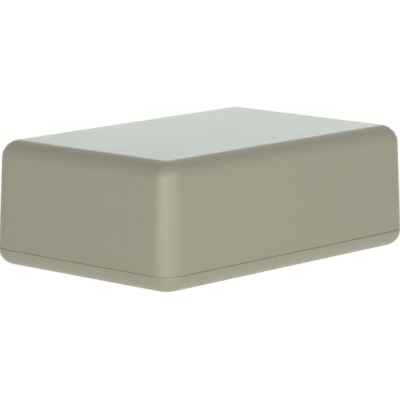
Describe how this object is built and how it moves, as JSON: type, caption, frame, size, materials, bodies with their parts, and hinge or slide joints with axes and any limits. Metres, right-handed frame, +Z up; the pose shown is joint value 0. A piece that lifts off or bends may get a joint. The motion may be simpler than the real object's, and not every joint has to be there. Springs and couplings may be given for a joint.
{
  "type": "plastic project box",
  "caption": "Closed rectangular plastic case for small electronics, with a deep tapered cover screwed from below to a shallow base.",
  "frame": {"origin": "centre of the closed box's underside, on the surface it stands on", "axes": "+X along the box's length, +Y across its width, +Z up, the way the cover lifts off"},
  "size_m": [0.09, 0.06, 0.0308],
  "materials": {
    "cover_plastic": "pebble-grey ABS with a fine spark-eroded texture",
    "base_plastic": "pebble-grey ABS with a fine spark-eroded texture",
    "screw_steel": "zinc-plated steel"
  },
  "bodies": {
    "base": {"base": "base_plastic", "case_screws": "screw_steel"},
    "cover": {"cover": "cover_plastic"}
  },
  "joints": [
    {"name": "cover_lift", "type": "slide", "parent": "base", "child": "cover", "axis": [0, 0, 1], "range_m": [0, 0.04]}
  ]
}
